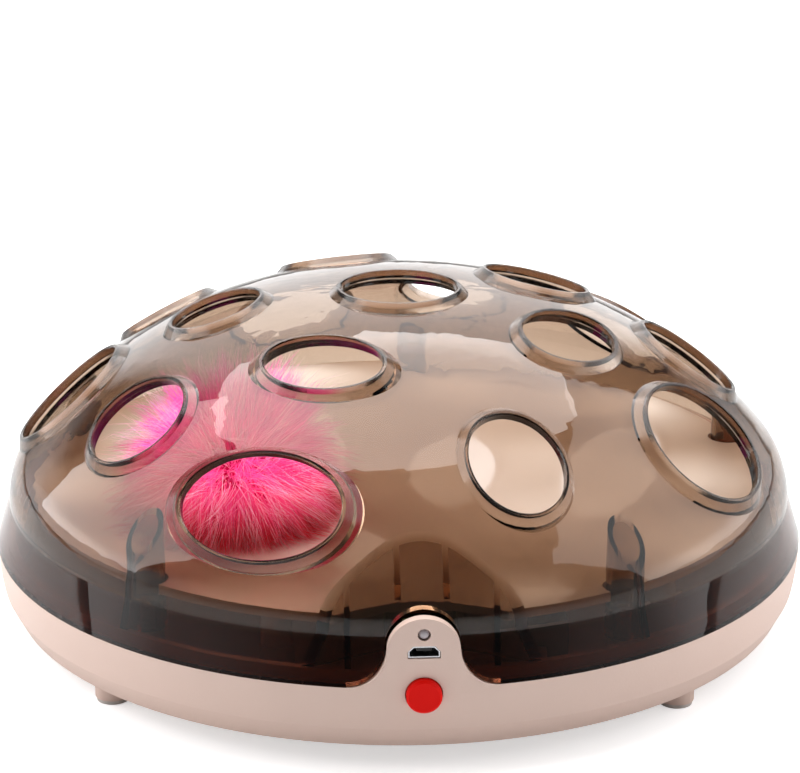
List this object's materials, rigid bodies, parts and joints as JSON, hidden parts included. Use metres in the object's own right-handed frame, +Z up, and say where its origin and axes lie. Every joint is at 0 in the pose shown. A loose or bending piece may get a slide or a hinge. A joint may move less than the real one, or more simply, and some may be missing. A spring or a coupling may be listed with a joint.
{
  "type": "automatic cat toy",
  "caption": "Domed electric cat toy: smoke dome with lipped paw holes over a deck where a hidden motor arm drags a fur lure; tab with button, lamp and charging socket.",
  "frame": {"origin": "on the floor under the axle, in the middle of the four feet", "axes": "+Z up along the axle, -Y towards the tab with the button"},
  "size_m": [0.24, 0.2418, 0.098],
  "materials": {
    "smoke_clear": "polished see-through smoke brown",
    "cream_matt": "fine matt moulding",
    "cream_gloss": "smooth gloss",
    "foot_rubber": "matt",
    "red_gloss": "gloss",
    "lens_clear": "diffused clear",
    "black_plastic": "moulded",
    "white_nylon": "moulded",
    "grey_plastic": "moulded",
    "steel": "turned",
    "brass": "turned",
    "board_green": "solder mask",
    "cell_wrap": "shrink wrap",
    "magnet": "nickel plated",
    "felt": "pressed felt",
    "pink_fur": "long fur"
  },
  "bodies": {
    "base": {"base_tray": "cream_matt", "foot_pads": "foot_rubber", "deck_plate": "cream_gloss", "deck_screws": "steel", "switch_body": "black_plastic", "led_lamp": "lens_clear", "led_legs": "steel", "usb_shell": "steel", "usb_tongue": "black_plastic", "control_board": "board_green", "battery_cell": "cell_wrap", "battery_strap": "cream_matt", "strap_screws": "steel", "drive_motor": "steel", "motor_screws": "steel", "axle_pin": "steel", "axle_washer": "brass", "axle_clip": "steel"},
    "dome": {"dome_cover": "smoke_clear"},
    "button": {"power_button": "red_gloss", "switch_plunger": "black_plastic"},
    "rotor": {"rotor_gear": "white_nylon", "rotor_bush": "brass", "rotor_arm": "grey_plastic", "rotor_screws": "steel", "drive_magnet": "magnet", "counterweight": "steel"},
    "pinion": {"motor_shaft": "steel", "motor_pinion": "white_nylon"},
    "lure": {"lure_puck": "black_plastic", "lure_magnet": "magnet", "lure_felt": "felt", "lure_pompom": "pink_fur"}
  },
  "joints": [
    {"name": "dome_lift", "type": "slide", "parent": "base", "child": "dome", "axis": [0, 0, 1], "range_m": [0, 0.09]},
    {"name": "button_press", "type": "slide", "parent": "base", "child": "button", "axis": [0, 1, 0], "range_m": [0, 0.0008], "stiffness_N_per_m": 600},
    {"name": "rotor_spin", "type": "hinge", "parent": "base", "child": "rotor", "pos_m": [0, 0, 0.026], "axis": [0, 0, 1], "continuous": true},
    {"name": "pinion_spin", "type": "hinge", "parent": "base", "child": "pinion", "pos_m": [0, 0.0375, 0.0245], "axis": [0, 0, 1], "continuous": true},
    {"name": "lure_drag", "type": "hinge", "parent": "base", "child": "lure", "pos_m": [0, 0, 0.0401], "axis": [0, 0, 1], "continuous": true}
  ],
  "couplings": [
    {"joint": "pinion_spin", "follows": "rotor_spin", "ratio": -4},
    {"joint": "lure_drag", "follows": "rotor_spin", "ratio": 1}
  ]
}
